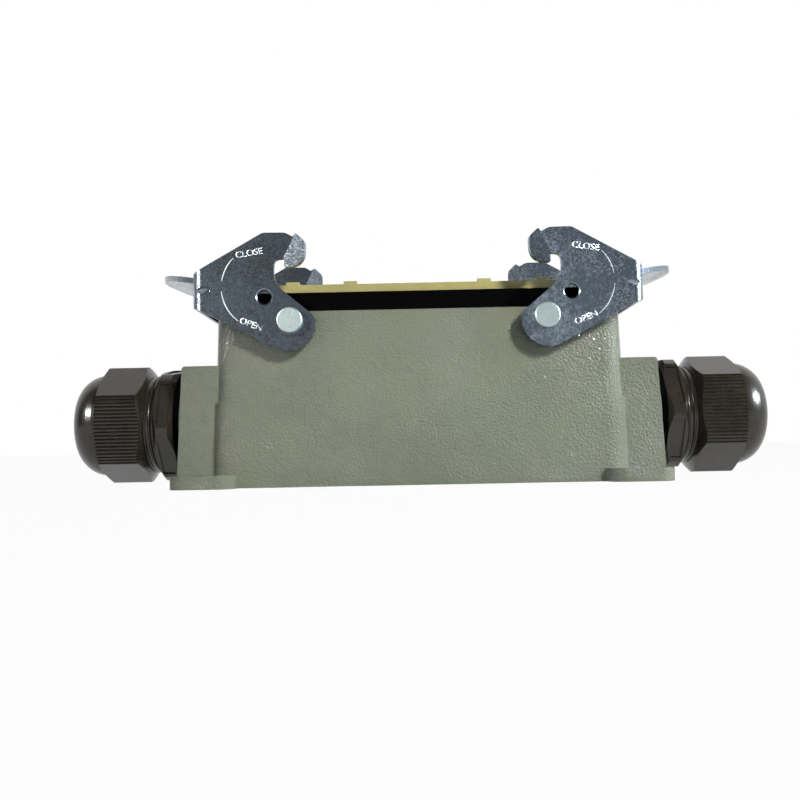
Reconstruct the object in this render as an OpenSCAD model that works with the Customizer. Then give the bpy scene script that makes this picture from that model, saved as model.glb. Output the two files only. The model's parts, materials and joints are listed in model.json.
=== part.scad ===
// Heavy duty rectangular connector: a surface-mounted die-cast housing with two
// side cable entries, a 24-pole socket insert and two locking levers.
// The origin is at the bottom centre of the base, +X runs along the housing
// and +Z points to the mating face.

/* [Housing] */
// Length of the housing at its rim
rim_len = 120; // [118:0.5:140]
// Width of the housing at its rim
rim_wid = 43; // [42:0.25:48]
// Height of the rim above the base
rim_z = 51.6; // [50:0.1:58]
// Thickness of the side and end walls
wall = 3; // [2.5:0.1:3.4]
// Thickness of the closed bottom
floor_t = 3; // [2:0.1:4]
// Corner radius at the rim
corner_r = 6; // [4:0.25:8]
// Draft of the cast walls in degrees
draft = 1.8; // [0.5:0.1:2.5]
// Height of the ledge that tops the lower band
ledge_z = 24.9; // [22:0.1:28]
// How far the lower band stands proud of the wall above it
ledge_step = 0.8; // [0.4:0.05:1.2]
// Depth of the curved dip in the middle of the ledge
dip_depth = 14.5; // [8:0.25:18]
// Width of the curved dip
dip_len = 96; // [70:0.5:104]

/* [Entry bosses and ears] */
// How far the end face of an entry boss stands past the rim
boss_out = 11.3; // [10:0.1:20]
// Draft of the end face of an entry boss in degrees
boss_draft = 2.8; // [1:0.1:4]
// How far the sides of an entry boss stand in from the rim
boss_inset = 2; // [1:0.25:3]
// How far a mounting hole stands past the end of the rim
mount_out = 7.6; // [4:0.1:10]
// How far a mounting hole stands past the side of the rim
mount_side = 3; // [2.5:0.1:5]
// Radius of a mounting hole
mount_r = 2.75; // [2.25:0.05:3]
// Thickness of the mounting ears
ear_t = 3.9; // [3:0.1:5]
// Radius of the ears around their holes
ear_r = 5; // [4.5:0.1:6]
// Length of the straight front of an ear
ear_len = 9.2; // [6:0.1:10]

/* [Seal and insert] */
// Height of the rim gasket above the rim
gasket_h = 5.6; // [4:0.1:6.5]
// Height of the insert's mating face above the gasket
insert_rise = 3.1; // [2:0.1:5]
// Gap between the moulded insert and the side walls
insert_side_gap = 1.7; // [1:0.1:3]
// Gap between the moulded insert and the heads of its screws
insert_end_gap = 4.7; // [3.5:0.1:5]
// Depth of the insert below its mating face
insert_depth = 34; // [32:0.25:36]
// Poles in each of the two rows
poles = 12; // [6:1:12]
// Distance from the end of the moulded insert to its last poles
pole_inset = 7.3; // [6.5:0.1:8.5]
// Distance between the two rows
row_gap = 14; // [12.5:0.1:14.5]
// Radius of a contact socket
socket_r = 2.1; // [1.9:0.05:2.3]
// Distance of the insert screws from the inside of the walls
screw_inset = 5; // [4.5:0.1:5.5]
// Radius of the insert screws' shank
screw_r = 2; // [1.6:0.05:2.1]
// Width of the posts along the edge of the mating face
post_w = 4; // [2:0.1:6]
// Height of the posts
post_h = 0.9; // [0.4:0.1:1.5]

/* [Levers] */
// Distance of a pivot in from the end of the rim
pivot_in = 22.75; // [20:0.25:25]
// Drop of a pivot below the rim
pivot_drop = 3.3; // [3.2:0.1:5]
// Radius of a pivot rivet's shank
pivot_r = 2.5; // [2:0.05:2.6]
// Radius of a pivot rivet's head
rivet_head_r = 3.7; // [3.4:0.1:4.2]
// Thickness of a pivot rivet's head
rivet_head_t = 1.8; // [1:0.1:2.4]
// Thickness of the lever's sheet
sheet_t = 1.6; // [1.2:0.1:1.8]
// Height of the cast pivot seats above the wall
seat_h = 1.3; // [1.1:0.05:1.6]
// Thickness of a pivot washer
washer_t = 1; // [0.6:0.05:1.4]
// How far the outside of a lever's crosspiece stands past the rim
cross_out = 5.9; // [5.5:0.05:9]
// Height of a lever's top edge above its pivot
lever_rise = 26; // [25:0.25:30]
// Outer radius of the lever's two bends
bend_r = 3; // [2.4:0.1:4]
// Radius of the eye around the pivot
eye_r = 8.1; // [7.6:0.1:8.6]
// Angle at which the hook tips flare outwards
flare = 12; // [4:0.5:16]
// Radius of the round hole in each lever plate
lever_hole_r = 2.15; // [1.5:0.05:2.6]
// Radius to which the edge of that hole is chamfered outside
hole_edge_r = 2.85; // [2.5:0.05:3]
// How far the thumb tab reaches past the crosspiece
tab_len = 14; // [10:0.1:15]
// Upward slope of the thumb tab in degrees
tab_slope = 16; // [5:0.5:22]

/* [Cable glands] */
// Distance across the flats of a gland's hexagon and nut
gland_af = 33; // [30:0.1:35]
// How far the turned corners of the hexagon stand past its flats
corner_out = 1.7; // [1.2:0.05:2]
// Clearance between a gland and the surface the base stands on
gland_lift = 1.5; // [0.5:0.1:5]
// Thickness of the sealing washer under a gland
gland_washer_t = 1.8; // [1:0.1:2.5]
// Thickness of a gland body's hexagon
hex_t = 6.1; // [5:0.1:7]
// Wall of a gland nut outside its thread
nut_wall = 1.6; // [1.4:0.05:2]
// Gap between a gland body's hexagon and its nut
nut_gap = 3.4; // [2.5:0.1:5]
// Length of a gland nut
nut_len = 21.9; // [20:0.1:25]
// Grooves on each ribbed flat of a gland nut
grooves = 20; // [12:1:22]
// Depth of those grooves
groove_depth = 0.35; // [0.2:0.05:0.45]
// How far the left gland body is turned about its axis, in degrees
left_body_turn = -20; // [-30:1:30]
// How far the right gland body is turned about its axis, in degrees
right_body_turn = 28; // [-30:1:30]
// How far the left gland nut is turned about its axis, in degrees
left_nut_turn = 7; // [-60:1:60]
// How far the right gland nut is turned about its axis, in degrees
right_nut_turn = -4; // [-60:1:60]

/* [Hidden] */

fit_gap = 0.05;     // between pieces that are assembled and stay put
run_gap = 0.05;     // radial clearance of a pin in a part that turns on it
side_play = 0.1;    // axial clearance on each side of a lever plate
soft_gap = 0.3;     // kept free around the rubber parts and the nut's cone
over = 1;           // how far a cut runs past the face it opens
$fn = 64;
corner_fn = 40;

cast_grey = [0.50, 0.51, 0.45];
seal_black = [0.05, 0.05, 0.05];
cream = [0.80, 0.77, 0.55];
zinc = [0.62, 0.66, 0.70];
rivet_grey = [0.66, 0.70, 0.69];
brass = [0.78, 0.65, 0.36];
nylon_grey = [0.28, 0.27, 0.24];

// Glands: radii, from the flats inwards
gland_corner_r = gland_af / 2 + corner_out;
nut_thread_r = gland_af / 2 - nut_wall;
claw_r = nut_thread_r - 1.6;
seal_r = claw_r - 2.4;
gland_bore_r = seal_r - 1.4;
cable_r = gland_bore_r - 0.3;
seal_bore_r = cable_r - 0.4;
entry_r = nut_thread_r - 0.75;
entry_z = gland_corner_r + gland_lift;
collar_r = entry_r + 2.2;

// Housing
ledge_grow = (rim_z - ledge_z) * tan(draft);
upper_len = rim_len + 2 * ledge_grow;
upper_wid = rim_wid + 2 * ledge_grow;
core_step = ledge_step / 4;
band_grow = ledge_z * tan(draft) / 2;
band_len = upper_len + 2 * (ledge_step + band_grow);
band_wid = upper_wid + 2 * (ledge_step + band_grow);
band_r = corner_r + ledge_grow + ledge_step + band_grow;
cavity_len = rim_len - 2 * wall;
cavity_wid = rim_wid - 2 * wall;
cavity_r = corner_r - wall + 0.5;
dip_r = (dip_len * dip_len / 4 + dip_depth * dip_depth) / (2 * dip_depth);
pillar_z = rim_z - 5;
pillar_w = 8.4;
lip_t = 1;
lip_h = 2.2;
gasket_inset = 0.3;
mount_x = rim_len / 2 + mount_out;
mount_y = rim_wid / 2 + mount_side;
boss_wid = rim_wid - 2 * boss_inset;
boss_top = entry_z + collar_r + 0.15;
boss_lean = boss_top * tan(boss_draft);
boss_x = rim_len / 2 + boss_out;
boss_edge_r = 1;
collar_x = boss_x + boss_lean / 2 + 0.05;
collar_deep = 3;

// Insert
screw_gap_x = cavity_len - 2 * screw_inset;
screw_gap_y = cavity_wid - 2 * screw_inset;
screw_head_r = 3.4;
screw_head_t = 2.4;
screw_len = 9;
slot_wid = 1;
slot_deep = 1;
insert_len = screw_gap_x - 2 * (screw_head_r + insert_end_gap);
insert_wid = cavity_wid - 2 * insert_side_gap;
insert_low_gap = 6.2;
insert_low_len = screw_gap_x - pillar_w - 2 * insert_low_gap;
insert_edge_r = 1;
face_z = rim_z + gasket_h + insert_rise;
plate_t = 1.5;
shelf_z = pillar_z + plate_t;
low_z = face_z - insert_depth;
pole_pitch = (insert_len - 2 * pole_inset) / (poles - 1);
post_x = 20.1;
post_inset = 6.4;
post_deep = 2.2;
socket_wall = 0.8;
socket_drop = 1.6;
socket_bore_len = 12;
socket_top = face_z - socket_drop;
socket_hole_r = 1.55;
terminal_w = 5;
terminal_d = 6;
terminal_h = 8;
terminal_z = low_z + 0.6;
wire_hole_r = 1.4;
terminal_screw_r = 1.5;
terminal_screw_len = 5;
terminal_screw_in = 1.6;
driver_gap = 0.6;
earth_len = 6.4;
earth_wid = 9;
earth_tall = 6.5;
earth_end_gap = 0.6;
earth_hole_r = 1.5;
earth_screw_len = 3.5;
earth_screw_head_t = 1.6;

// Levers, measured from the pivot
pivot_x = rim_len / 2 - pivot_in;
pivot_z = rim_z - pivot_drop;
cross_x = pivot_in + cross_out;
wall_y = rim_wid / 2 + pivot_drop * tan(draft);
seat_y = wall_y + seat_h;
seat_r = 4.6;
washer_r = 4.6;
plate_in = seat_y + washer_t + side_play;
plate_out = plate_in + sheet_t;
rivet_edge_r = 0.4;
cross_low = 4.5;
cross_high = lever_rise - 11.8;
peak_x = 7.75;
notch_x = 0.9;
notch_drop = 1.3;
ear_x = 2.3;
ear_drop = 0.5;
hook_x = 5;
hook_high = lever_rise - 3;
hook_low = lever_rise - 10.25;
slot_high = lever_rise - 7.95;
slot_in = 1.15;
slot_out = 4.2;
throat_x = 5.2;
throat_z = 11.5;
throat_in = 7.5;
throat_low = 0.9;
eye_x = 0.7;
eye_z = -0.8;
eye_from = 190;
eye_to = 297;
crease_top = [-1.5, lever_rise - 1.4];
crease_low = [1.8, slot_high - 0.15];
crease_foot = 3.5;
crease_head = 4;
hook_reach = 10;
plate_hole_x = 7.4;
plate_hole_z = 7.1;
strip_reach = 12;
dart_z = 9.4;
dart_len = 14;
dart_r = 1.2;
dart_deep = 0.9;
dart_wall = 1.3;
tab_bend_r = 0.6;
tab_root_z = 11.6;
tab_wid = 2 * (plate_out - bend_r);
tab_steps = 24;
tiny_r = 0.3;
small_r = 1;
mid_r = 3;
wide_r = 8;

// Glands, as distances from the centre plane along the entry axis
tail_x = cavity_len / 2 + 3.9;
hex_x = collar_x + gland_washer_t;
hex_edge = 1.3;
neck_x = hex_x + hex_t;
nut_x = neck_x + nut_gap;
nut_end = nut_x + nut_len;
claw_x = nut_end - 15.2;
claw_end = nut_end - 6.4;
claw_slots = 4;
claw_slot_w = 1.2;
seal_floor = 1.5;
panel_edge = 1.3;
panel_wid = 12.9;
panel_deep = 0.45;
nut_foot = 1.3;
nut_cone = 1.8;
nut_shoulder = nut_len - 8.2;
dome_start = nut_len - 7.4;
dome_r = 8.6;
dome_in = 2.3;
dome_steps = 10;
squeeze_gap = 0.7;

function unit(v) = v / norm(v);
function wrap(a) = a > 180 ? a - 360 : a < -180 ? a + 360 : a;

// Points that round the corner b of the path a-b-c with radius r
function rounded_corner(a, b, c, r, n = 8) =
    r == 0 ? [b] :
    let (u = unit(a - b),
         v = unit(c - b),
         half = acos(u * v) / 2,
         centre = b + unit(u + v) * r / sin(half),
         p0 = b + u * r / tan(half) - centre,
         p1 = b + v * r / tan(half) - centre,
         start = atan2(p0.y, p0.x),
         sweep = wrap(atan2(p1.y, p1.x) - start))
    [for (i = [0:n]) centre + r * [cos(start + sweep * i / n), sin(start + sweep * i / n)]];

// Closed outline whose corners [x, y, r] are rounded by their own radius r
function rounded_outline(p) = let (n = len(p)) [
    for (i = [0:n - 1])
        let (a = p[(i + n - 1) % n], b = p[i], c = p[(i + 1) % n])
        each rounded_corner([a.x, a.y], [b.x, b.y], [c.x, c.y], b[2])
];

module rounded_rect(l, w, r) {
    polygon(rounded_outline([[l / 2, w / 2, r], [-l / 2, w / 2, r], [-l / 2, -w / 2, r], [l / 2, -w / 2, r]]));
}

// Block with rounded vertical corners whose walls lean in by grow over its height
module drafted_block(l, w, r, h, grow) {
    hull() for (sx = [-1, 1], sy = [-1, 1])
        translate([sx * (l / 2 - r), sy * (w / 2 - r), 0])
            cylinder(h = h, r1 = r, r2 = r - grow, $fn = corner_fn);
}

// Extrudes a shape drawn in Y and Z along +X, or one drawn in X and Z along Y
module along_x(h) { rotate([90, 0, 90]) linear_extrude(h) children(); }
module along_y(h) { rotate([90, 0, 0]) linear_extrude(h, center = true) children(); }
// Revolves a profile drawn as [radius, distance] about the X axis
module around_x() { rotate([0, 90, 0]) rotate_extrude() children(); }
module rod_x(r, x0, x1) { translate([x0, 0, 0]) rotate([0, 90, 0]) cylinder(h = x1 - x0, r = r); }
module rod_y(r, y0, y1) { translate([0, y0, 0]) rotate([-90, 0, 0]) cylinder(h = y1 - y0, r = r); }
module side(s) { mirror([s < 0 ? 1 : 0, 0, 0]) children(); }
module both_ends() { for (s = [-1, 1]) side(s) children(); }

// ---------------------------------------------------------------- housing

module housing_shell() {
    translate([0, 0, ledge_z]) drafted_block(upper_len, upper_wid, corner_r + ledge_grow, rim_z - ledge_z, ledge_grow);
    linear_extrude(ledge_z)
        rounded_rect(upper_len + 2 * core_step, upper_wid + 2 * core_step, corner_r + ledge_grow);
    difference() {
        drafted_block(band_len, band_wid, band_r, ledge_z, band_grow);
        translate([0, 0, ledge_z - dip_depth + dip_r]) rod_y(dip_r, -band_wid, band_wid, $fn = 180);
    }
}

module entry_boss() {
    along_y(boss_wid) polygon(rounded_outline([
        [cavity_len / 2 + over, 0, 0],
        [boss_x + boss_lean / 2, 0, 0],
        [boss_x - boss_lean / 2, boss_top, boss_edge_r],
        [cavity_len / 2 + over, boss_top, 0]
    ]));
    translate([0, 0, entry_z]) rod_x(collar_r, boss_x - collar_deep, collar_x);
}

module ear() {
    linear_extrude(ear_t) hull() {
        translate([mount_x, mount_y]) circle(ear_r);
        translate([mount_x - ear_len, mount_y]) circle(ear_r);
        translate([mount_x - ear_len - ear_r, boss_wid / 2 - 2 * over]) square([ear_len + 2 * ear_r, over]);
    }
}

module pillar() {
    px = screw_gap_x / 2 - pillar_w / 2;
    py = screw_gap_y / 2 - pillar_w / 2;
    translate([px, py, floor_t - over])
        cube([cavity_len / 2 + over - px, cavity_wid / 2 + over - py, pillar_z - floor_t + over]);
}

module pivot_seats() {
    intersection() {
        both_ends() translate([pivot_x, 0, pivot_z]) rod_y(seat_r, -seat_y, seat_y);
        translate([0, 0, rim_z / 2]) cube([rim_len, 2 * seat_y + over, rim_z], center = true);
    }
}

module housing() {
    color(cast_grey) difference() {
        union() {
            difference() {
                union() {
                    housing_shell();
                    pivot_seats();
                    both_ends() {
                        entry_boss();
                        ear();
                        mirror([0, 1, 0]) ear();
                    }
                    linear_extrude(rim_z + lip_h) rounded_rect(cavity_len + 2 * lip_t, cavity_wid + 2 * lip_t, cavity_r + lip_t);
                }
                translate([0, 0, floor_t]) linear_extrude(rim_z) rounded_rect(cavity_len, cavity_wid, cavity_r);
            }
            intersection() {
                both_ends() {
                    pillar();
                    mirror([0, 1, 0]) pillar();
                }
                linear_extrude(rim_z) rounded_rect(cavity_len + over, cavity_wid + over, cavity_r);
            }
        }
        both_ends() {
            translate([0, 0, entry_z]) rod_x(entry_r, cavity_len / 2 - over, collar_x + over);
            translate([pivot_x, 0, pivot_z]) rod_y(pivot_r, -seat_y - over, seat_y + over);
            for (sy = [-1, 1]) {
                translate([mount_x, sy * mount_y, -over]) cylinder(h = ear_t + 2 * over, r = mount_r);
                translate([screw_gap_x / 2, sy * screw_gap_y / 2, pillar_z - screw_len])
                    cylinder(h = screw_len + over, r = screw_r);
            }
        }
    }
}

module rim_gasket() {
    out_l = rim_len - 2 * gasket_inset;
    out_w = rim_wid - 2 * gasket_inset;
    color(seal_black) translate([0, 0, rim_z]) difference() {
        linear_extrude(gasket_h) rounded_rect(out_l, out_w, corner_r - gasket_inset);
        translate([0, 0, -over]) linear_extrude(gasket_h + 2 * over)
            rounded_rect(cavity_len, cavity_wid, cavity_r);
        translate([0, 0, -over]) linear_extrude(over + lip_h + fit_gap)
            rounded_rect(cavity_len + 2 * (lip_t + fit_gap), cavity_wid + 2 * (lip_t + fit_gap), cavity_r + lip_t);
    }
}

// ---------------------------------------------------------------- insert

// Repeats its child at every pole, drawn for the row on the +Y side
module each_pole() {
    for (i = [0:poles - 1], sy = [0, 1])
        mirror([0, sy, 0]) translate([(i - (poles - 1) / 2) * pole_pitch, row_gap / 2, 0]) children();
}

module insert_body() {
    color(cream) difference() {
        union() {
            translate([0, 0, shelf_z]) linear_extrude(face_z - shelf_z) rounded_rect(insert_len, insert_wid, 2 * insert_edge_r);
            translate([0, 0, low_z]) linear_extrude(shelf_z - low_z + over)
                rounded_rect(insert_low_len, insert_wid, insert_edge_r);
            for (sx = [-1, 1], sy = [-1, 1], x = [post_x, insert_len / 2 - post_inset])
                translate([sx * x - post_w / 2, sy * (insert_wid / 2 - post_deep / 2) - post_deep / 2, face_z - over])
                    cube([post_w, post_deep, post_h + over]);
        }
        each_pole() {
            translate([0, 0, low_z - over]) cylinder(h = socket_top + fit_gap - low_z + over, r = socket_r + fit_gap, $fn = 24);
            translate([0, 0, low_z]) cylinder(h = face_z - low_z + over, r = socket_hole_r, $fn = 24);
            translate([-terminal_w / 2 - fit_gap, -terminal_d / 2 - fit_gap, low_z - over])
                cube([terminal_w + 2 * fit_gap, terminal_d + 2 * fit_gap, over + terminal_z - low_z + terminal_h + fit_gap]);
            translate([0, 0, terminal_z + terminal_h / 2])
                rod_y(terminal_screw_r + driver_gap, 0, insert_wid, $fn = 24);
        }
    }
}

module contact_sockets() {
    color(brass) each_pole() difference() {
        union() {
            translate([0, 0, terminal_z + 1]) cylinder(h = socket_top - terminal_z - 1, r = socket_r, $fn = 24);
            translate([-terminal_w / 2, -terminal_d / 2, terminal_z]) cube([terminal_w, terminal_d, terminal_h]);
        }
        translate([0, 0, socket_top - socket_bore_len])
            cylinder(h = socket_bore_len + over, r = socket_r - socket_wall, $fn = 24);
        translate([0, 0, terminal_z - over]) cylinder(h = terminal_h, r = wire_hole_r, $fn = 24);
        translate([0, 0, terminal_z + terminal_h / 2]) rod_y(terminal_screw_r, 0, terminal_d, $fn = 24);
    }
}

module terminal_screws() {
    color(zinc) each_pole() translate([0, terminal_screw_in, terminal_z + terminal_h / 2]) difference() {
        rod_y(terminal_screw_r, 0, terminal_screw_len, $fn = 24);
        translate([-terminal_screw_r - over, terminal_screw_len - slot_deep, -slot_wid / 4])
            cube([2 * (terminal_screw_r + over), slot_deep + over, slot_wid / 2]);
    }
}

module earth_plate() {
    in_x = insert_low_len / 2 + fit_gap;
    out_x = cavity_len / 2 - earth_end_gap;
    block_x = out_x - earth_len;
    color(zinc) difference() {
        union() {
            translate([(in_x + out_x) / 2, 0, pillar_z]) linear_extrude(plate_t)
                rounded_rect(out_x - in_x, insert_wid, insert_edge_r);
            translate([block_x, -earth_wid / 2, shelf_z - 0.2]) cube([earth_len, earth_wid, earth_tall]);
        }
        for (sy = [-1, 1]) translate([screw_gap_x / 2, sy * screw_gap_y / 2, pillar_z - over])
            cylinder(h = plate_t + 2 * over, r = screw_r + fit_gap);
        translate([block_x + earth_len / 2, 0, shelf_z + earth_tall - earth_screw_len - over])
            cylinder(h = earth_tall, r = screw_r);
        translate([0, 0, shelf_z + earth_hole_r + over]) rod_x(earth_hole_r, block_x - over, out_x + over);
    }
}

// Pan head screw with a slot, standing on z = 0 with its shank pointing down
module slotted_screw(shank_r, shank_len, head_r, head_t) {
    difference() {
        union() {
            translate([0, 0, -shank_len]) cylinder(h = shank_len + head_t / 2, r = shank_r);
            rotate_extrude() polygon(rounded_outline([[0, 0, 0], [head_r, 0, tiny_r], [head_r, head_t, small_r], [0, head_t, 0]]));
        }
        translate([-head_r - over, -slot_wid / 2, head_t - slot_deep])
            cube([2 * (head_r + over), slot_wid, slot_deep + over]);
    }
}

module earth_screws() {
    color(zinc) both_ends()
        translate([cavity_len / 2 - earth_end_gap - earth_len / 2, 0, shelf_z - 0.2 + earth_tall])
            slotted_screw(screw_r, earth_screw_len, earth_len / 2, earth_screw_head_t);
}

module insert_screws() {
    color(zinc) both_ends() for (sy = [-1, 1])
        translate([screw_gap_x / 2, sy * screw_gap_y / 2, shelf_z])
            slotted_screw(screw_r, screw_len - 1, screw_head_r, screw_head_t);
}

// ---------------------------------------------------------------- levers

// Side outline of a lever about its pivot, +x outwards and +y up. It runs from the
// foot of the crosspiece over the sloping back, round the hook and its slot, and
// down the throat to the eye.
function lever_outline() = concat(
    rounded_outline([
        [cross_x, cross_low, small_r], [cross_x, cross_high, small_r],
        [peak_x, lever_rise, mid_r], [slot_in, lever_rise - 0.1, mid_r],
        [-notch_x, lever_rise - notch_drop, tiny_r], [-ear_x, lever_rise - ear_drop, tiny_r],
        [-hook_x, hook_high, 2.5], [-hook_x, hook_low, 1.3 * mid_r], [slot_in, hook_low - 0.3, tiny_r],
        [slot_in, slot_high + 0.2, 0.8 * small_r], [slot_out, slot_high - 0.1, 1.5 * small_r],
        [throat_x, throat_z, wide_r], [-throat_in, throat_low, mid_r],
        [eye_x + eye_r * cos(eye_from), eye_z + eye_r * sin(eye_from), 0]
    ]),
    [for (a = [eye_from + 5:8:eye_to]) [eye_x, eye_z] + eye_r * [cos(a), sin(a)]]
);

crease_tilt = atan2(crease_top.x - crease_low.x, crease_top.y - crease_low.y);

// Everything on the hook's side of the crease, above the mouth
module hook_zone() {
    run = unit(crease_top - crease_low);
    foot = crease_low - run * crease_foot;
    head = crease_top + run * crease_head;
    polygon([foot, head, [-hook_reach, head.y], [-hook_reach, foot.y]]);
}

// Plan of the folded strip: two plates, two bends and the crosspiece
module folded_strip(out_x, half_w, r) {
    polygon(rounded_outline([
        [-strip_reach, half_w, 0], [-strip_reach, -half_w, 0],
        [out_x, -half_w, r], [out_x, half_w, r]
    ]));
}

// One hook tip, turned outwards about the crease on the inner face of the -Y plate
module hook_tip() {
    hinge = [crease_low.x, -plate_in, crease_low.y];
    translate(hinge) rotate([0, crease_tilt, 0]) rotate([0, 0, flare]) rotate([0, -crease_tilt, 0]) translate(-hinge)
        translate([0, -plate_in - sheet_t / 2, 0]) along_y(sheet_t) intersection() {
            polygon(lever_outline());
            hook_zone();
        }
}

// Side view of the thumb tab: the top of the crosspiece, bent outwards
module tab_section() {
    out_r = tab_bend_r + sheet_t;
    reach = tab_len + out_r;
    bend = [for (i = [0:8]) 180 - i * (90 - tab_slope) / 8];
    polygon(concat(
        [for (a = bend) out_r * [cos(a), sin(a)]],
        [out_r * [-sin(tab_slope), cos(tab_slope)] + reach * [cos(tab_slope), sin(tab_slope)],
         tab_bend_r * [-sin(tab_slope), cos(tab_slope)] + reach * [cos(tab_slope), sin(tab_slope)]],
        [for (i = [8:-1:0]) tab_bend_r * [cos(bend[i]), sin(bend[i])]],
        [[-tab_bend_r, cross_low - tab_root_z], [-out_r, cross_low - tab_root_z]]
    ));
}

// Thumb tab, drawn in to a rounded tip
module thumb_tab() {
    intersection() {
        translate([cross_x + tab_bend_r, 0, tab_root_z]) along_y(tab_wid) tab_section();
        linear_extrude(2 * lever_rise) polygon(concat(
            [[cross_x - sheet_t, tab_wid / 2], [cross_x - sheet_t, -tab_wid / 2]],
            [for (i = [0:tab_steps]) let (t = 2 * i / tab_steps - 1)
                [cross_x + tab_len * (1 - t * t), t * tab_wid / 2]]
        ));
    }
}

// The two plates and the crosspiece, folded from one strip
module lever_frame() {
    intersection() {
        along_y(2 * plate_out + over) difference() {
            polygon(lever_outline());
            hook_zone();
        }
        translate([0, 0, -lever_rise]) linear_extrude(3 * lever_rise) difference() {
            folded_strip(cross_x, plate_out, bend_r);
            translate([-over, 0]) folded_strip(cross_x - sheet_t + over, plate_in, bend_r - sheet_t);
        }
    }
}

// Rod across the bend of the -Y plate, for the dart that is pressed in to stiffen it
module dart(r) {
    off = bend_r * (1 - cos(45)) + dart_deep;
    translate([cross_x - off, -plate_out + off, dart_z]) rotate([0, 0, 45]) rotate([0, 90, 0])
        cylinder(h = dart_len, r = r, center = true, $fn = 32);
}

module inner_rib() {
    intersection() {
        dart(dart_r + dart_wall);
        linear_extrude(lever_rise) folded_strip(cross_x - over / 10, plate_out - over / 10, bend_r);
    }
}

module lever() {
    color(zinc) difference() {
        union() {
            difference() {
                lever_frame();
                translate([cross_x - sheet_t - over, -tab_wid / 2, tab_root_z])
                    cube([sheet_t + 2 * over, tab_wid, lever_rise]);
            }
            for (sy = [0, 1]) mirror([0, sy, 0]) {
                hook_tip();
                inner_rib();
            }
            thumb_tab();
        }
        for (sy = [0, 1]) mirror([0, sy, 0]) dart(dart_r);
        rod_y(pivot_r + run_gap, -plate_out - over, plate_out + over);
        translate([plate_hole_x, 0, plate_hole_z]) rod_y(lever_hole_r, -plate_out - over, plate_out + over);
        for (sy = [0, 1]) mirror([0, sy, 0]) translate([plate_hole_x, plate_out - sheet_t / 2, plate_hole_z])
            rotate([-90, 0, 0]) cylinder(h = sheet_t, r1 = 2 * lever_hole_r - hole_edge_r, r2 = 2 * hole_edge_r - lever_hole_r);
    }
}

module placed_lever(s) { side(s) translate([pivot_x, 0, pivot_z]) lever(); }

module pivot_rivets() {
    head_y = plate_out + side_play;
    color(rivet_grey) for (sy = [0, 1]) mirror([0, sy, 0]) translate([pivot_x, 0, pivot_z]) {
        rod_y(pivot_r, cavity_wid / 2, head_y + rivet_head_t / 2);
        translate([0, head_y, 0]) rotate([-90, 0, 0]) rotate_extrude()
            polygon(rounded_outline([[0, 0, 0], [rivet_head_r, 0, 0], [rivet_head_r, rivet_head_t, rivet_edge_r], [0, rivet_head_t, 0]]));
    }
}

module pivot_washers() {
    color(zinc) for (sy = [0, 1]) mirror([0, sy, 0]) translate([pivot_x, 0, pivot_z]) difference() {
        rod_y(washer_r, seat_y, seat_y + washer_t);
        rod_y(pivot_r + fit_gap, seat_y - over, seat_y + washer_t + over);
    }
}

// ---------------------------------------------------------------- glands

module placed_gland(s) { side(s) translate([0, 0, entry_z]) children(); }

module gland_washer() {
    color(seal_black) difference() {
        rod_x(collar_r, collar_x, hex_x);
        rod_x(entry_r + fit_gap, collar_x - over, hex_x + over);
    }
}

// Hexagon with turned corners. Unturned, one of its flats faces -Y.
module turned_hexagon() {
    intersection() {
        rotate(30) circle(r = gland_af / 2 / cos(30), $fn = 6);
        circle(r = gland_corner_r, $fn = 96);
    }
}

module gland_body(turn) {
    tight_r = gland_af / 2;
    color(nylon_grey) difference() {
        union() {
            rod_x(entry_r - fit_gap, tail_x, hex_x + over);
            intersection() {
                translate([hex_x, 0, 0]) along_x(hex_t) rotate(turn) turned_hexagon();
                around_x() polygon([
                    [0, hex_x], [tight_r, hex_x], [gland_corner_r, hex_x + hex_edge],
                    [gland_corner_r, neck_x - hex_edge], [tight_r, neck_x], [0, neck_x]
                ]);
            }
            rod_x(nut_thread_r, neck_x - over, claw_x);
            around_x() polygon([
                [0, claw_x - over], [claw_r, claw_x - over], [claw_r, claw_x + 2 * over],
                [seal_r + hex_edge, claw_end], [0, claw_end]
            ]);
        }
        rod_x(gland_bore_r, tail_x - over, claw_end + over);
        rod_x(seal_r, neck_x + seal_floor, claw_end + over);
        for (i = [0:claw_slots - 1]) rotate([i * 180 / claw_slots, 0, 0])
            translate([claw_x + driver_gap, -claw_slot_w / 2, -claw_r - over])
                cube([claw_end - claw_x, claw_slot_w, 2 * (claw_r + over)]);
        for (i = [0:5]) rotate([turn + 30 + i * 60, 0, 0]) rotate([30, 0, 0])
            translate([hex_x + panel_edge, tight_r - panel_deep, -panel_wid / 2])
                cube([hex_t - 2 * panel_edge, panel_deep + over, panel_wid]);
    }
}

module gland_seal() {
    color(seal_black) difference() {
        rod_x(seal_r - fit_gap, neck_x + seal_floor + fit_gap, claw_end - 0.2);
        rod_x(seal_bore_r, neck_x, claw_end + over);
    }
}

// Section of the nut: the hexagon, with grooves across every other flat and its corners
module ribbed_hexagon() {
    half_flat = sqrt(gland_corner_r * gland_corner_r - gland_af * gland_af / 4);
    flat_angle = atan2(half_flat, gland_af / 2);
    arc = (30 - flat_angle) * PI / 90 * gland_corner_r;
    step = 2 * (half_flat + arc) / grooves;
    difference() {
        turned_hexagon();
        for (k = [0:2], i = [0:grooves - 1]) {
            s = (i - (grooves - 1) / 2) * step;
            past = abs(s) - half_flat;
            a = sign(s) * (flat_angle + past / gland_corner_r * 180 / PI);
            rotate(180 + k * 120) translate(past < 0 ? [gland_af / 2, s] : gland_corner_r * [cos(a), sin(a)])
                circle(r = groove_depth, $fn = 4);
        }
    }
}

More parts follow.
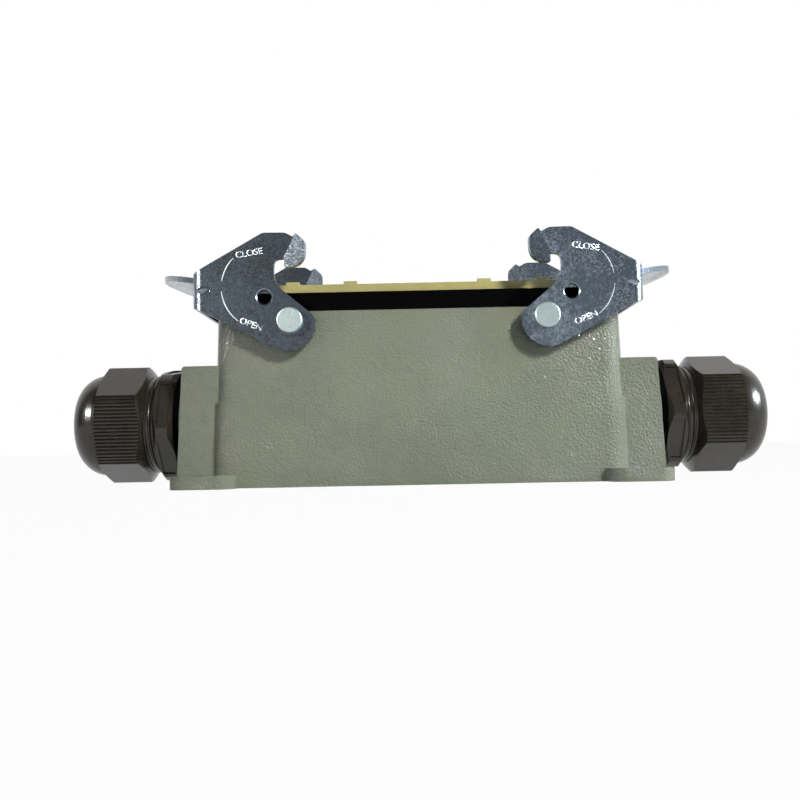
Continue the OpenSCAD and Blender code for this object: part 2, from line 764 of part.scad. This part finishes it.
module gland_nut(turn) {
    hub_r = gland_corner_r - dome_in - dome_r;
    dome_x = nut_x + dome_start;
    end_angle = acos((nut_end - dome_x) / dome_r);
    inner_r = nut_thread_r + run_gap;
    color(nylon_grey) difference() {
        intersection() {
            translate([nut_x, 0, 0]) along_x(nut_len) rotate(turn) ribbed_hexagon();
            around_x() polygon(concat(
                [[0, nut_x], [gland_af / 2 - nut_foot, nut_x], [gland_corner_r, nut_x + nut_cone],
                 [gland_corner_r, nut_x + nut_shoulder]],
                [for (i = [0:dome_steps]) let (a = 90 - i * (90 - end_angle) / dome_steps)
                    [hub_r, dome_x] + dome_r * [sin(a), cos(a)]],
                [[0, nut_end]]
            ));
        }
        rod_x(inner_r, nut_x - over, claw_x + over);
        around_x() polygon([
            [0, claw_x], [inner_r, claw_x], [inner_r, claw_x + over],
            [seal_r + hex_edge + fit_gap * 8, claw_end + squeeze_gap], [0, claw_end + squeeze_gap]
        ]);
        rod_x(cable_r, nut_x, nut_end + over);
    }
}

housing();
rim_gasket();
insert_body();
contact_sockets();
terminal_screws();
side(-1) earth_plate();  // earth_plate_left
side(1) earth_plate();  // earth_plate_right
earth_screws();
insert_screws();
placed_lever(-1);  // lever_left
placed_lever(1);  // lever_right
side(-1) pivot_rivets();  // pivot_rivets_left
side(1) pivot_rivets();  // pivot_rivets_right
side(-1) pivot_washers();  // pivot_washers_left
side(1) pivot_washers();  // pivot_washers_right
placed_gland(-1) gland_washer();  // gland_washer_left
placed_gland(1) gland_washer();  // gland_washer_right
placed_gland(-1) gland_body(left_body_turn);  // gland_body_left
placed_gland(1) gland_body(right_body_turn);  // gland_body_right
placed_gland(-1) gland_seal();  // gland_seal_left
placed_gland(1) gland_seal();  // gland_seal_right
placed_gland(-1) gland_nut(left_nut_turn);  // gland_nut_left
placed_gland(1) gland_nut(right_nut_turn);  // gland_nut_right
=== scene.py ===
# %% [markdown]
# # A heavy duty rectangular connector
# The object is a die-cast housing with a cable gland at each end, a cream insert with
# two rows of sockets, a black rim gasket and two folded steel levers. Its solids come
# from CAD and are loaded as a fixed frame. This file gives them their finish: rounded
# edges, a powder coat, zinc plating, moulded plastic, the gland threads and the marks
# that are stamped into the levers. Everything is in metres.

# %% Load the frame
import json
import math

import bmesh
import bpy
from mathutils import Matrix, Vector


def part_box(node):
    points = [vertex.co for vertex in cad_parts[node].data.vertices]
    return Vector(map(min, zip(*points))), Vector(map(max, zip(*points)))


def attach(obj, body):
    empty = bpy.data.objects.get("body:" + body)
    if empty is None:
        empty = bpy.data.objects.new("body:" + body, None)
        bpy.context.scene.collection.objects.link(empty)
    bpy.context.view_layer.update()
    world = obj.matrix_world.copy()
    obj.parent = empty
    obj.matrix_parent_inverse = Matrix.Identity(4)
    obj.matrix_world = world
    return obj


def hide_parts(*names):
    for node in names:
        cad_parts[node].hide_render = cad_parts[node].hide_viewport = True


MM = 0.001
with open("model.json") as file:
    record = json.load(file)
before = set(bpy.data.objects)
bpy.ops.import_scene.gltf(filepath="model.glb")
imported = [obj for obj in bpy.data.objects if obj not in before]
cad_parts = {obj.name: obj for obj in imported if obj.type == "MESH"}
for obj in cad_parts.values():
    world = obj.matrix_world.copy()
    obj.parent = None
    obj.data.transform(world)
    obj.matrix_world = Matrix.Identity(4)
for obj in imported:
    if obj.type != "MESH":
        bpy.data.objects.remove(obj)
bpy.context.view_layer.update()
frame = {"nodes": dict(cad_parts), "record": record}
nodes = frame["nodes"]
record = frame["record"]

# %% [markdown]
# ## Camera
# A close view with a wide angle makes the near faces look large, so the camera stands
# 0.28 m in front of the housing, a little above the surface it stands on, and looks
# slightly up. A camera is placed by its position and three turns: yaw, pitch and roll.
# The matrix below is built from the direction it looks in, so each turn can be read.

# %% Place the camera
CAMERA_AT = Vector((-3.9, -276.21, 11.02)) * MM
CAMERA_YAW = math.radians(-0.43)
CAMERA_PITCH = math.radians(3.10)
CAMERA_ROLL = math.radians(-1.13)
LENS_MM = 39.17


def camera_matrix(at, yaw, pitch, roll):
    flat = math.cos(pitch)
    look = Vector((math.sin(yaw) * flat, math.cos(yaw) * flat, math.sin(pitch)))
    level = Vector((math.cos(yaw), -math.sin(yaw), 0))
    rise = level.cross(look)
    right = math.cos(roll) * level + math.sin(roll) * rise
    up = math.cos(roll) * rise - math.sin(roll) * level
    return Matrix.Translation(at) @ Matrix((right, up, -look)).transposed().to_4x4()


camera_data = bpy.data.cameras.new("camera")
camera_data.lens = LENS_MM
camera_data.clip_start = 5 * MM
camera = bpy.data.objects.new("camera", camera_data)
camera.matrix_world = camera_matrix(CAMERA_AT, CAMERA_YAW, CAMERA_PITCH, CAMERA_ROLL)
bpy.context.scene.collection.objects.link(camera)
bpy.context.scene.camera = camera
bpy.context.scene.view_settings.view_transform = "Standard"
print("camera at", [round(v / MM) for v in camera.location], "mm")

# %% [markdown]
# ## Node helpers
# Materials are node trees. Two short functions keep the code readable: one adds a node
# and sets or links its inputs, the other starts a node group with named sockets, which
# is Blender's way to reuse an effect in several materials with different values.

# %% Helpers that add nodes


def add_node(tree, kind, settings=None, **inputs):
    """Adds a node. An input is a socket to link from, or a plain value to set."""
    node = tree.nodes.new("ShaderNode" + kind)
    for key, value in (settings or {}).items():
        setattr(node, key, value)
    for key, value in inputs.items():
        name = key.replace("_", " ")
        socket = node.inputs[int(name[1:])] if name[1:].isdigit() else node.inputs[name]
        if isinstance(value, bpy.types.NodeSocket):
            tree.links.new(value, socket)
        else:
            socket.default_value = value
    return node


def start_group(name, inputs, outputs):
    """Starts a node group. Inputs are (name, type, default), outputs are (name, type)."""
    group = bpy.data.node_groups.new(name, "ShaderNodeTree")
    for label, kind, default in inputs:
        socket_type = "NodeSocket" + kind
        socket = group.interface.new_socket(label, in_out="INPUT", socket_type=socket_type)
        socket.default_value = default
    for label, kind in outputs:
        group.interface.new_socket(label, in_out="OUTPUT", socket_type="NodeSocket" + kind)
    entry = group.nodes.new("NodeGroupInput").outputs
    return group, entry, group.nodes.new("NodeGroupOutput").inputs


def use_group(tree, group, **inputs):
    node = tree.nodes.new("ShaderNodeGroup")
    node.node_tree = group
    for key, value in inputs.items():
        socket = node.inputs[key.replace("_", " ")]
        if isinstance(value, bpy.types.NodeSocket):
            tree.links.new(value, socket)
        else:
            socket.default_value = value
    return node.outputs


def math_node(tree, operation, a, b):
    return add_node(tree, "Math", {"operation": operation}, i0=a, i1=b).outputs[0]


def vector_node(tree, operation, a, **inputs):
    return add_node(tree, "VectorMath", {"operation": operation}, i0=a, **inputs).outputs[0]


def mix_color(tree, factor, a, b):
    node = add_node(tree, "Mix", {"data_type": "RGBA"}, i0=factor)
    for index, value in ((6, a), (7, b)):
        if isinstance(value, bpy.types.NodeSocket):
            tree.links.new(value, node.inputs[index])
        else:
            node.inputs[index].default_value = value
    return node.outputs[2]


def smooth_step(tree, value, low, high):
    node = add_node(tree, "MapRange", {"interpolation_type": "SMOOTHSTEP"}, Value=value)
    node.inputs["From Min"].default_value = low
    node.inputs["From Max"].default_value = high
    return node.outputs["Result"]


def noise(tree, place, scale, detail, roughness):
    node = add_node(tree, "TexNoise", Vector=place, Scale=scale, Detail=detail, Roughness=roughness)
    return node.outputs[0]


def rgb(r, g, b):
    """A colour given as it looks on a screen, 0 to 255, as the linear value nodes take."""
    def linear(c):
        c /= 255
        return c / 12.92 if c <= 0.04045 else ((c + 0.055) / 1.055) ** 2.4
    return (linear(r), linear(g), linear(b), 1)


# %% [markdown]
# ## Studio
# The object stands in a white cove. The camera sees the backdrop as plain white, and
# shiny surfaces see it too, but the open side of the studio, behind the camera, is dim
# apart from a window on the right: that contrast is what makes metal look like metal.
# The key lamp is small and stands high on the right, so the levers throw a narrow
# shadow to the lower left. Two side lamps only glint, in metal, in nylon and in the
# grain of the paint where the housing's corners turn towards them.

# %% World: white backdrop, dim room
world = bpy.data.worlds.new("studio")
bpy.context.scene.world = world
world.use_nodes = True
tree = world.node_tree
tree.nodes.clear()
ROOM_LEVEL = 0.05    # what lights matt surfaces
MIRROR_LEVEL = 0.08  # what shiny surfaces see in front of the object
WINDOW_LEVEL = 0.55  # and what they see far to the right, where the window is
BACKDROP_EDGE = (-0.05, 0.35)  # where the dim room turns into the backdrop, along Y
WINDOW_EDGE = (0.35, 0.95)     # where it turns into the window, along X
direction = add_node(tree, "TexCoord").outputs["Generated"]
axes = add_node(tree, "SeparateXYZ", i0=direction).outputs
rays = add_node(tree, "LightPath").outputs
shiny = math_node(tree, "MAXIMUM", rays["Is Glossy Ray"], rays["Is Transmission Ray"])
backdrop = math_node(tree, "MULTIPLY", shiny, smooth_step(tree, axes["Y"], *BACKDROP_EDGE))
seen = math_node(tree, "MAXIMUM", rays["Is Camera Ray"], backdrop)
room_level = add_node(tree, "MapRange", Value=rays["Is Glossy Ray"])
room_level.inputs["To Min"].default_value = ROOM_LEVEL
window = smooth_step(tree, axes["X"], *WINDOW_EDGE)
mirror_level = add_node(tree, "MapRange", Value=window)
mirror_level.inputs["To Min"].default_value = MIRROR_LEVEL
mirror_level.inputs["To Max"].default_value = WINDOW_LEVEL
tree.links.new(mirror_level.outputs[0], room_level.inputs["To Max"])
room_color = (0.90, 0.96, 1.0, 1)
room = add_node(tree, "Background", Color=room_color, Strength=room_level.outputs[0])
white = add_node(tree, "Background", Color=(1, 1, 1, 1), Strength=1.0)
both = add_node(tree, "MixShader", i0=seen, i1=room.outputs[0], i2=white.outputs[0])
add_node(tree, "OutputWorld", Surface=both.outputs[0])
print("room", ROOM_LEVEL, "mirrors", MIRROR_LEVEL, "window", WINDOW_LEVEL)

# %% Floor
FLOOR_SIZE = 6.0
FLOOR_TONE = 0.50
FLOOR_GLOW = 0.96  # share of plain white that the camera sees, over the shadowed floor
floor_mesh = bpy.data.meshes.new("floor")
bm = bmesh.new()
bmesh.ops.create_grid(bm, x_segments=1, y_segments=1, size=FLOOR_SIZE)
bm.to_mesh(floor_mesh)
bm.free()
floor = bpy.data.objects.new("floor", floor_mesh)
bpy.context.scene.collection.objects.link(floor)
floor_material = bpy.data.materials.new("floor")
floor_material.use_nodes = True
tree = floor_material.node_tree
tree.nodes.clear()
paper = add_node(tree, "BsdfDiffuse", Color=(FLOOR_TONE, FLOOR_TONE, FLOOR_TONE, 1))
glow = add_node(tree, "Emission", Color=(1, 1, 1, 1), Strength=1.0)
rays = add_node(tree, "LightPath").outputs
looked_at = math_node(tree, "MAXIMUM", rays["Is Camera Ray"], rays["Is Glossy Ray"])
looked_at = math_node(tree, "MAXIMUM", looked_at, rays["Is Transmission Ray"])
share = math_node(tree, "MULTIPLY", looked_at, FLOOR_GLOW)
both = add_node(tree, "MixShader", i0=share, i1=paper.outputs[0], i2=glow.outputs[0])
add_node(tree, "OutputMaterial", Surface=both.outputs[0])
floor_mesh.materials.append(floor_material)
print("floor", FLOOR_SIZE * 2, "m wide")

# %% Lamps


def add_lamp(name, at, size, watts, color, aim=(0, 0, 0.035)):
    data = bpy.data.lights.new(name, "AREA")
    data.shape = "DISK"
    data.size = size
    data.energy = watts
    data.color = color
    lamp = bpy.data.objects.new(name, data)
    lamp.location = at
    lamp.rotation_euler = (Vector(aim) - Vector(at)).to_track_quat("-Z", "Y").to_euler()
    bpy.context.scene.collection.objects.link(lamp)
    return lamp


WARM, COOL, BLUISH = (1.0, 0.985, 0.95), (0.92, 0.97, 1.0), (0.82, 0.93, 1.0)
RIGHT_END, LEFT_END = (0.06, 0, 0.03), (-0.06, 0, 0.03)
key = add_lamp("key", (0.44, -0.52, 0.46), 0.13, 5.5, WARM)
add_lamp("fill", (-0.45, -0.80, 0.20), 0.50, 0.09, COOL)
add_lamp("softbox", (0.12, -0.70, 0.17), 0.20, 0.09, (0.94, 0.97, 1.0))
# The key would burn a white patch into the flat hook tips, so mirrors miss it.
key.visible_glossy = False
# The two side lamps show in shiny surfaces and add no matt light.
glints = [
    add_lamp("side_right", (0.60, -0.20, 0.26), 0.05, 15.0, BLUISH, RIGHT_END),
    add_lamp("side_left", (-0.50, -0.38, 0.26), 0.04, 8.0, (1.0, 0.98, 0.93), LEFT_END),
]
for lamp in glints:
    lamp.visible_diffuse = False
print("lamps:", [light.name for light in bpy.data.lights])

# %% [markdown]
# ## Effects shared by materials
# Real finishes are uneven at several scales. These groups each make one such effect
# and put out a height for a bump, a mask, a colour or a normal. All of them read Object
# coordinates, so the pattern is fixed to the piece and moves with it.

# %% Group: pebbled grain
# Powder coat melts into soft pebbles. Two noises of different size, with the higher
# tops kept flat, look like that skin. Moulded plastic uses it finer and shallower.
grain, g_in, g_out = start_group(
    "pebbled_grain",
    [("Pebble", "Float", 1.0), ("Fine", "Float", 0.35), ("Fine Share", "Float", 0.3)],
    [("Height", "Float")],
)
place = add_node(grain, "TexCoord").outputs["Object"]
pebble_scale = math_node(grain, "DIVIDE", 1 / MM, g_in["Pebble"])
fine_scale = math_node(grain, "DIVIDE", 1 / MM, g_in["Fine"])
pebbles = noise(grain, place, pebble_scale, 1.5, 0.45)
fine = noise(grain, place, fine_scale, 2.0, 0.5)
tops = smooth_step(grain, pebbles, 0.30, 0.68)
fine_part = math_node(grain, "MULTIPLY", fine, g_in["Fine Share"])
grain.links.new(math_node(grain, "ADD", tops, fine_part), g_out["Height"])

# %% Group: drifting tone
# No coat is one even colour. A broad noise drifts between two tones and a finer one
# mottles it slightly.
drift, g_in, g_out = start_group(
    "drifting_tone",
    [("Tone A", "Color", (0.5, 0.5, 0.5, 1)), ("Tone B", "Color", (0.4, 0.4, 0.4, 1)),
     ("Size", "Float", 30.0), ("Mottle", "Float", 0.25)],
    [("Color", "Color"), ("Mask", "Float")],
)
place = add_node(drift, "TexCoord").outputs["Object"]
broad_scale = math_node(drift, "DIVIDE", 1 / MM, g_in["Size"])
broad = noise(drift, place, broad_scale, 2.0, 0.55)
mottle_scale = math_node(drift, "MULTIPLY", broad_scale, 14.0)
speck = noise(drift, place, mottle_scale, 2.0, 0.6)
speck = math_node(drift, "MULTIPLY", math_node(drift, "SUBTRACT", speck, 0.5), g_in["Mottle"])
mask = smooth_step(drift, math_node(drift, "ADD", broad, speck), 0.33, 0.67)
drift.links.new(mix_color(drift, mask, g_in["Tone A"], g_in["Tone B"]), g_out["Color"])
drift.links.new(mask, g_out["Mask"])

# %% Group: zinc spangle
# Zinc plating is made of small crystals, each tilted its own way, so one glitters and
# the next stays dark. Voronoi cells give the crystals, and their random colour is the
# tilt.
spangle, g_in, g_out = start_group(
    "zinc_spangle",
    [("Crystal", "Float", 0.5), ("Tilt", "Float", 0.3)],
    [("Normal", "Vector")],
)
place = add_node(spangle, "TexCoord").outputs["Object"]
cell_scale = math_node(spangle, "DIVIDE", 1 / MM, g_in["Crystal"])
WARP_SCALE = 2600.0
WARP_BY = 0.35 * MM  # bends the crystals' straight borders
warp = add_node(spangle, "TexNoise", Vector=place, Scale=WARP_SCALE, Detail=2.0).outputs["Color"]
warped = vector_node(spangle, "ADD", place, i1=vector_node(spangle, "SCALE", warp, Scale=WARP_BY))
cells = add_node(spangle, "TexVoronoi", {"feature": "F1"}, Vector=warped, Scale=cell_scale)
centred = vector_node(spangle, "SUBTRACT", cells.outputs["Color"], i1=(0.5, 0.5, 0.5))
tilt = vector_node(spangle, "SCALE", centred, Scale=g_in["Tilt"])
plain_normal = add_node(spangle, "NewGeometry").outputs["Normal"]
tilted = vector_node(spangle, "ADD", plain_normal, i1=tilt)
spangle.links.new(vector_node(spangle, "NORMALIZE", tilted), g_out["Normal"])
print("node groups:", [g.name for g in bpy.data.node_groups])

# %% [markdown]
# ## Materials
# Each material is a Principled BSDF. Numbers that are the same all over the surface are
# set on the shader itself; colour, roughness and normal vary over the surface and are
# linked from the groups above.

# %% Start a material


def start_material(name, **values):
    material = bpy.data.materials.new(name)
    material.use_nodes = True
    shader = material.node_tree.nodes["Principled BSDF"]
    for key, value in values.items():
        shader.inputs[key.replace("_", " ")].default_value = value
    return material, material.node_tree, shader.inputs


def bump(tree, height, depth_mm):
    return add_node(tree, "Bump", Height=height, Distance=depth_mm * MM, Strength=1.0).outputs[0]


def coated_material(name, tone_a, tone_b, size, mottle, pebble, fine, fine_share,
                    depth_mm, **values):
    """A coat or plastic: a drifting tone and a pebbled grain of the given depth."""
    material, tree, shader = start_material(name, **values)
    tone = use_group(tree, drift, Tone_A=tone_a, Tone_B=tone_b, Size=size, Mottle=mottle)
    height = use_group(tree, grain, Pebble=pebble, Fine=fine, Fine_Share=fine_share)["Height"]
    tree.links.new(tone["Color"], shader["Base Color"])
    tree.links.new(bump(tree, height, depth_mm), shader["Normal"])
    materials[name] = material
    return tree, shader, height


materials = {}

# %% Powder-coated casting
# The clear outer layer follows the grain more deeply than the colour under it, which is
# what makes single pebbles glint.
tree, shader, height = coated_material(
    "cast_body", rgb(133, 139, 118), rgb(123, 132, 112), 38.0, 0.35, 0.66, 0.24, 0.22, 0.105,
    Roughness=0.55, Specular_IOR_Level=0.05, Coat_Weight=0.8, Coat_Roughness=0.09,
)
tree.links.new(bump(tree, height, 0.220), shader["Coat Normal"])

# %% Black rubber, cream moulded insert and grey gland nylon
coated_material(
    "black_rubber", rgb(2, 2, 3), rgb(4, 4, 5), 6.0, 0.8, 0.30, 0.12, 0.4, 0.012,
    Roughness=0.85, Specular_IOR_Level=0.02,
)
coated_material(
    "insert_plastic", rgb(212, 203, 136), rgb(198, 190, 122), 16.0, 0.3, 0.45, 0.15, 0.4, 0.010,
    Roughness=0.42,
)
coated_material(
    "gland_nylon", rgb(55, 50, 42), rgb(44, 40, 33), 9.0, 0.5, 0.35, 0.12, 0.4, 0.006,
    Roughness=0.22,
)
print("coats and plastics:", sorted(materials))

# %% Zinc-plated metals


ROUGHNESS_DRIFT = 0.10  # how much rougher the darker tone is


def zinc_material(name, tone_a, tone_b, crystal, tilt, roughness):
    material, tree, shader = start_material(name, Metallic=1.0)
    tone = use_group(tree, drift, Tone_A=tone_a, Tone_B=tone_b, Size=14.0, Mottle=0.9)
    crystals = use_group(tree, spangle, Crystal=crystal, Tilt=tilt)
    level = math_node(tree, "MULTIPLY", tone["Mask"], ROUGHNESS_DRIFT)
    tree.links.new(math_node(tree, "ADD", level, roughness), shader["Roughness"])
    tree.links.new(tone["Color"], shader["Base Color"])
    tree.links.new(crystals["Normal"], shader["Normal"])
    materials[name] = material


zinc_material("lever_zinc", rgb(146, 156, 165), rgb(106, 116, 127), 0.38, 0.10, 0.20)
zinc_material("rivet_steel", rgb(176, 188, 188), rgb(158, 170, 170), 0.30, 0.10, 0.42)
zinc_material("screw_steel", rgb(190, 192, 190), rgb(170, 172, 172), 0.30, 0.08, 0.30)
zinc_material("earth_steel", rgb(188, 190, 188), rgb(168, 170, 172), 0.45, 0.10, 0.32)
zinc_material("contact_brass", rgb(214, 190, 140), rgb(196, 172, 120), 0.30, 0.06, 0.30)
print("materials:", sorted(materials))

# %% Dress the CAD solids
for part in record["subparts"]:
    solid = nodes[part["node"]]
    solid.data.materials.clear()
    solid.data.materials.append(materials[part["material_slot"]])
print(len(record["subparts"]), "solids dressed")

# %% [markdown]
# ## Rounded edges
# No cast, moulded or stamped edge is perfectly sharp, and a rounded one catches a thin
# line of light. A skin is a merged copy of the solid with a Bevel modifier that rounds
# every edge over a set angle, and a Weighted Normal modifier that keeps the large faces
# flat. It replaces the solid in the picture, while the solid
# stays behind it as the true shape. The width is that of the real edge: wide on the
# coated casting, narrow on sheet metal.

# %% Make rounded skins
body_of = {name: body for body, names in record["behaviour"]["bodies"].items() for name in names}
MERGE = 0.002 * MM
CREASE = 11.6  # degrees: over this an edge shows as a fold, under it as a curve
FLAT = 0.6     # degrees: under this two faces are joined into one
ROUNDED = 32   # degrees: over this an edge is rounded


def rounded_skin(name, width_mm, segments):
    mesh = nodes[name].data.copy()
    mesh.name = name + "_skin"
    bm = bmesh.new()
    bm.from_mesh(mesh)
    bmesh.ops.remove_doubles(bm, verts=bm.verts, dist=MERGE)
    bmesh.ops.dissolve_limit(
        bm, angle_limit=math.radians(FLAT), verts=bm.verts, edges=bm.edges)
    for face in bm.faces:
        face.smooth = True
    for edge in bm.edges:
        edge.smooth = edge.calc_face_angle(0) < math.radians(CREASE)
    bm.to_mesh(mesh)
    bm.free()
    skin = bpy.data.objects.new(name + "_skin", mesh)
    bpy.context.scene.collection.objects.link(skin)
    bevel = skin.modifiers.new("rounded edges", "BEVEL")
    bevel.width = width_mm * MM
    bevel.segments = segments
    bevel.limit_method = "ANGLE"
    bevel.angle_limit = math.radians(ROUNDED)
    weighted = skin.modifiers.new("flat faces stay flat", "WEIGHTED_NORMAL")
    weighted.keep_sharp = True
    weighted.weight = 100
    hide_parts(name)
    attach(skin, body_of[name])
    return skin


SKINS = {
    "housing": (0.55, 3), "insert_body": (0.15, 2), "rim_gasket": (0.30, 2),
    "lever_left": (0.28, 2), "lever_right": (0.28, 2),
    "gland_body_left": (0.15, 2), "gland_body_right": (0.15, 2),
}
for name, (width, segments) in SKINS.items():
    skin = rounded_skin(name, width, segments)
    print(skin.name, len(skin.data.polygons), "faces before the bevel")

# %% [markdown]
# ## Gland threads
# Between the hexagon and the nut of each gland a little of its thread shows. A thread
# is a profile swept round an axis while it moves along it, which is a spin with a step
# along X. Its two ends are then closed.

# %% Sweep the threads
THREAD_PITCH = 1.6
THREAD_TURNS = 1.75
THREAD_STEPS = 84
THREAD_RISE = 0.45
THREAD_TO_NUT = 0.35  # from the end of the thread's middle line to the nut
CREST = 0.16  # half widths of the crest, the flank and the foot
FLANK = 0.40
FOOT = 0.55
NECK_R = 14.9


def gland_thread(side):
    sign = -1 if side == "left" else 1
    nut_low, nut_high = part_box("gland_nut_" + side)
    nut_foot = (nut_low.x if sign > 0 else -nut_high.x) / MM
    axis_z = (nut_low.z + nut_high.z) / 2
    start = nut_foot - THREAD_TO_NUT - THREAD_PITCH * THREAD_TURNS
    profile = [(-FOOT, -0.2), (-FLANK, 0.12), (-CREST, THREAD_RISE - 0.06), (0, THREAD_RISE),
               (CREST, THREAD_RISE - 0.06), (FLANK, 0.12), (FOOT, -0.2)]
    bm = bmesh.new()
    ring = [bm.verts.new((sign * (start + x) * MM, 0, (NECK_R + r) * MM)) for x, r in profile]
    face = bm.faces.new(ring)
    bmesh.ops.spin(
        bm, geom=[face], axis=(sign, 0, 0), cent=(0, 0, 0),
        angle=math.tau * THREAD_TURNS, steps=THREAD_STEPS,
        dvec=(sign * THREAD_PITCH * THREAD_TURNS / THREAD_STEPS * MM, 0, 0),
    )
    bmesh.ops.remove_doubles(bm, verts=bm.verts, dist=MERGE)
    bmesh.ops.holes_fill(bm, edges=[e for e in bm.edges if e.is_boundary])
    bmesh.ops.recalc_face_normals(bm, faces=bm.faces)
    bmesh.ops.translate(bm, verts=bm.verts, vec=(0, 0, axis_z))
    for face in bm.faces:
        face.smooth = len(face.verts) == 4
    mesh = bpy.data.meshes.new("gland_thread_" + side)
    bm.to_mesh(mesh)
    bm.free()
    mesh.materials.append(materials["gland_nylon"])
    thread = bpy.data.objects.new(mesh.name, mesh)
    bpy.context.scene.collection.objects.link(thread)
    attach(thread, "housing")
    return thread


for side in ("left", "right"):
    print(gland_thread(side).name, "ends beside the nut")

# %% [markdown]
# ## Stamped marks
# Each lever plate has an arc in two strokes, with the word for that direction at its
# end: CLOSE at the top and OPEN below. A stamp pushes metal up round its letters, and
# those burrs glint, so the marks are thin strips that stand a hair above the plate, in
# a metal much lighter than the lever's zinc: that lighter colour is a painted glint.
# They are drawn flat, with u outwards from the pivot and v up, and then laid on each of
# the four plates.

# %% Lay the marks on the lever plates
stamp, tree, shader = start_material("stamped_mark", Metallic=1.0)
# Both tones are far lighter than the lever's zinc: a painted glint that keeps the marks bright
# where the plate reflects the dim room.
painted_glint_strong, painted_glint_weak = rgb(225, 230, 236), rgb(176, 184, 194)
tone = use_group(tree, drift, Tone_A=painted_glint_strong, Tone_B=painted_glint_weak, Size=1.6, Mottle=0.6)
tree.links.new(tone["Color"], shader["Base Color"])
rougher = math_node(tree, "MULTIPLY", tone["Mask"], 0.15)
tree.links.new(math_node(tree, "ADD", rougher, 0.42), shader["Roughness"])

# Lengths are in mm and angles in degrees.
RIVET_HEAD = 1.9  # from the plate's face to the top of a rivet's head
MARK_RISE = 0.04
MARK_SINK = 0.03
ARC_AT = (7.6, 10.0)
ARC_R = 12.3
ARC_WIDE = 0.32
ARC_STEPS = 14
ARC_STROKES = ((9, 45), (-53, -5))
LETTER_BOLD = 0.02
LETTER_MERGE = 0.002
# Each word has its middle, its turn and its size.
WORDS = (("CLOSE", (11.7, 20.0), -9, 2.7), ("OPEN", (11.3, -0.9), 22, 2.7))


def add_arc(bm, start, end):
    """A flat curved stroke that tapers to its ends, drawn in u and v."""
    rows = []
    for i in range(ARC_STEPS + 1):
        a = math.radians(start + (end - start) * i / ARC_STEPS)
        half = ARC_WIDE / 2 * (0.35 + 0.65 * math.sin(math.pi * (0.08 + 0.84 * i / ARC_STEPS)))
        row = []
        for r in (ARC_R - half, ARC_R + half):
            at = (ARC_AT[0] + r * math.cos(a), ARC_AT[1] + r * math.sin(a), 0)
            row.append(bm.verts.new(at))
        rows.append(row)
    for low, high in zip(rows, rows[1:]):
        bm.faces.new((low[0], low[1], high[1], high[0]))


def add_word(bm, text, at, turn, size, flip):
    """A word as a flat mesh, centred on its place. Flip 1 or -1 is the side it is on."""
    curve = bpy.data.curves.new(text, "FONT")
    curve.body = text
    curve.align_x = "CENTER"
    curve.align_y = "CENTER"
    curve.size = size
    curve.offset = LETTER_BOLD
    curve.resolution_u = 3
    carrier = bpy.data.objects.new(text, curve)
    bpy.context.scene.collection.objects.link(carrier)
    bpy.context.view_layer.update()
    evaluated = carrier.evaluated_get(bpy.context.evaluated_depsgraph_get())
    letters = bpy.data.meshes.new_from_object(evaluated)
    bpy.data.objects.remove(carrier)
    turned = Matrix.Rotation(math.radians(turn * flip), 4, "Z")
    letters.transform(Matrix.Translation((at[0] * flip, at[1], 0)) @ turned)
    bm.from_mesh(letters)
    bpy.data.meshes.remove(letters)


def stamped_marks(lever, front):
    """Marks for one plate. Seen from outside, out points right (1) or left (-1)."""
    side = -1 if lever == "lever_left" else 1
    flip = side if front else -side
    rivet_low, rivet_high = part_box(lever.replace("lever", "pivot_rivets"))
    face_y = rivet_high.y / MM - RIVET_HEAD
    bm = bmesh.new()
    for start, end in ARC_STROKES:
        add_arc(bm, start, end)
    bmesh.ops.scale(bm, vec=(flip, 1, 1), verts=bm.verts)
    for text, at, turn, size in WORDS:
        add_word(bm, text, at, turn, size, flip)
    bmesh.ops.remove_doubles(bm, verts=bm.verts, dist=LETTER_MERGE)
    bmesh.ops.recalc_face_normals(bm, faces=bm.faces)
    for face in bm.faces:
        if face.normal.z < 0:
            face.normal_flip()
    bmesh.ops.translate(bm, verts=bm.verts, vec=(0, 0, -MARK_SINK))
    bmesh.ops.solidify(bm, geom=bm.faces[:], thickness=-(MARK_RISE + MARK_SINK))
    bmesh.ops.recalc_face_normals(bm, faces=bm.faces)
    right, out = (1, -1) if front else (-1, 1)
    pivot_x = (rivet_low.x + rivet_high.x) / 2
    pivot_z = (rivet_low.z + rivet_high.z) / 2
    lay = Matrix((
        (right * MM, 0, 0, pivot_x),
        (0, 0, out * MM, out * face_y * MM),
        (0, MM, 0, pivot_z),
        (0, 0, 0, 1),
    ))
    bmesh.ops.transform(bm, matrix=lay, verts=bm.verts)
    name = lever + ("_marks_front" if front else "_marks_rear")
    mesh = bpy.data.meshes.new(name)
    bm.to_mesh(mesh)
    bm.free()
    mesh.materials.append(stamp)
    marks = bpy.data.objects.new(name, mesh)
    bpy.context.scene.collection.objects.link(marks)
    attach(marks, lever)
    return marks


for lever in ("lever_left", "lever_right"):
    for front in (True, False):
        marks = stamped_marks(lever, front)
        print(marks.name, len(marks.data.polygons), "faces")
